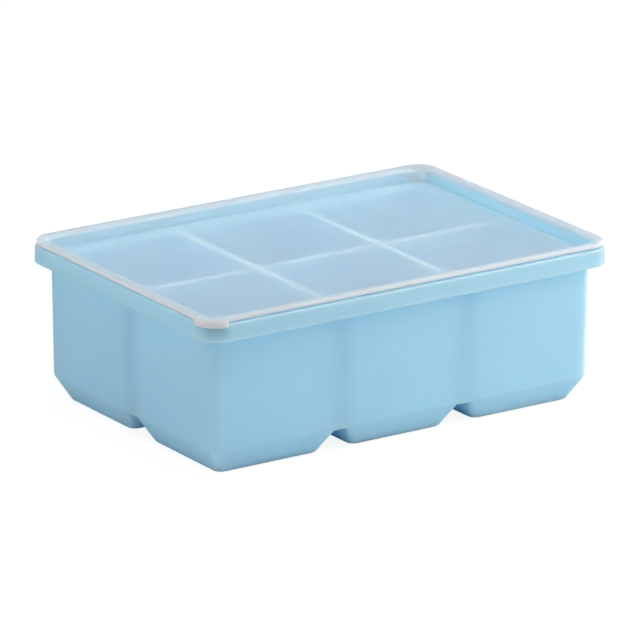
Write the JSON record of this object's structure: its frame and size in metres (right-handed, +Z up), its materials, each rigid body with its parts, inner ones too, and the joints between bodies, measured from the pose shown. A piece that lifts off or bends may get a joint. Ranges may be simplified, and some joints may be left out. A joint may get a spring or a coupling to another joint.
{
  "type": "ice cube tray",
  "caption": "Covered soft silicone tray with deep, sloped cups for large ice cubes, a stepped rim and a frosted lid that drops inside the rim.",
  "frame": {"origin": "under the middle of the tray, on the surface that its feet stand on", "axes": "+X along the long side, +Y across the short side, +Z up out of the cups; the lid's pull tab is at the corner towards -X and -Y"},
  "size_m": [0.1707, 0.1192, 0.0592],
  "materials": {
    "tray_silicone": "satin, light blue, faintly translucent",
    "lid_silicone": "frosted, nearly colourless, translucent"
  },
  "bodies": {
    "root": {"tray": "tray_silicone", "lid": "lid_silicone"}
  },
  "joints": []
}
